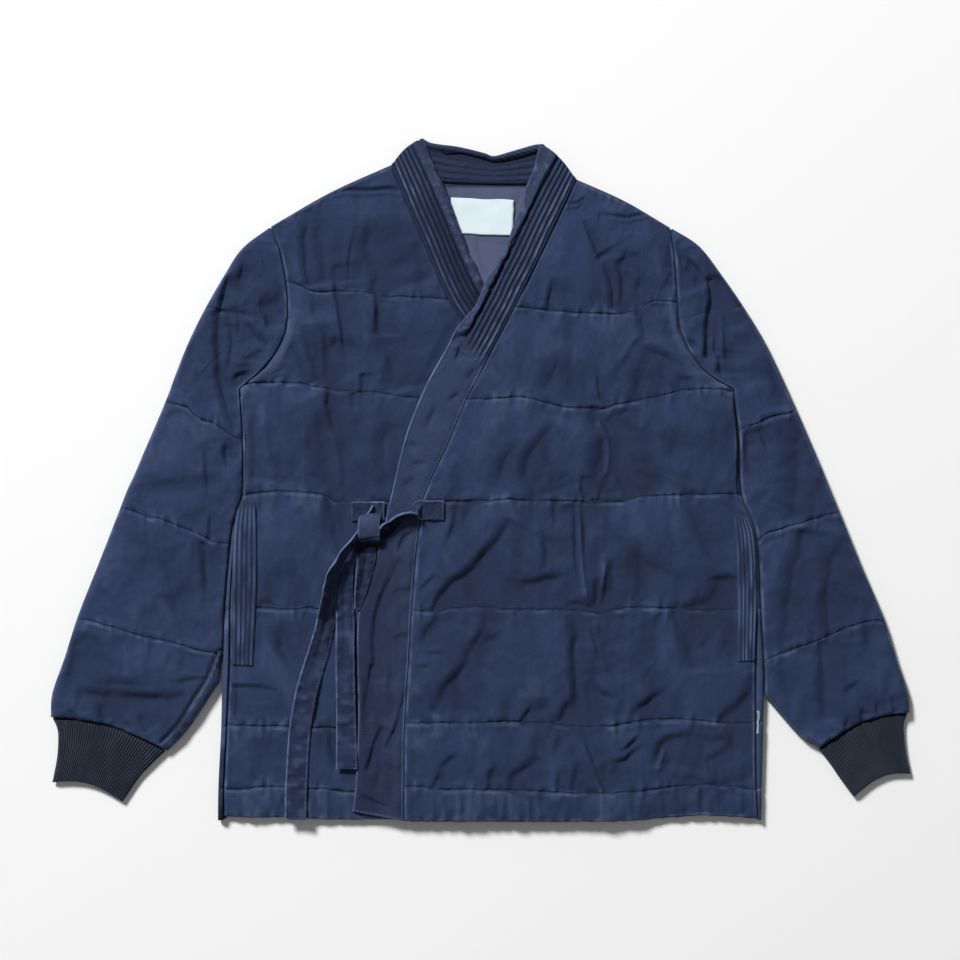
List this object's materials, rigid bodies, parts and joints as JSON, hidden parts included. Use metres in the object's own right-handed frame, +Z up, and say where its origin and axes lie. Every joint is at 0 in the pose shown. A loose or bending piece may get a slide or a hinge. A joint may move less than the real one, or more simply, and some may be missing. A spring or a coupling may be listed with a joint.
{
  "type": "quilted kimono jacket",
  "caption": "Padded jacket quilted in level channels, with a lapped kimono front, a ridged collar band, knitted cuffs and a tied waist strap, laid flat with its front up.",
  "frame": {"origin": "bottom centre of the bounding box, on the table under the jacket", "axes": "+X towards the wearer's left sleeve, +Y from the hem to the neck, +Z up from the table through the back and then the front"},
  "size_m": [0.894, 0.71, 0.0298],
  "materials": {
    "quilted_cloth": "washed navy cotton over thin wadding, with paler seam ridges",
    "band_cloth": "the same washed navy cotton, folded and topstitched",
    "rib_knit": "dark navy rib knit",
    "lining_cloth": "smooth plain grey-violet lining with a faint sheen",
    "woven_tape": "bare off-white woven tape"
  },
  "bodies": {
    "root": {"back": "quilted_cloth", "front_left": "quilted_cloth", "front_right": "quilted_cloth", "front_band_left": "band_cloth", "front_band_right": "band_cloth", "collar": "band_cloth", "lining_back": "lining_cloth", "neck_label": "woven_tape", "sleeve_left": "quilted_cloth", "sleeve_right": "quilted_cloth", "cuff_left": "rib_knit", "cuff_right": "rib_knit", "pocket_welt_left": "band_cloth", "pocket_welt_right": "band_cloth", "tie_right": "band_cloth", "tie_left": "band_cloth", "tie_long_tail": "band_cloth", "tie_short_tail": "band_cloth", "tie_knot": "band_cloth", "side_tab": "woven_tape"}
  },
  "joints": []
}
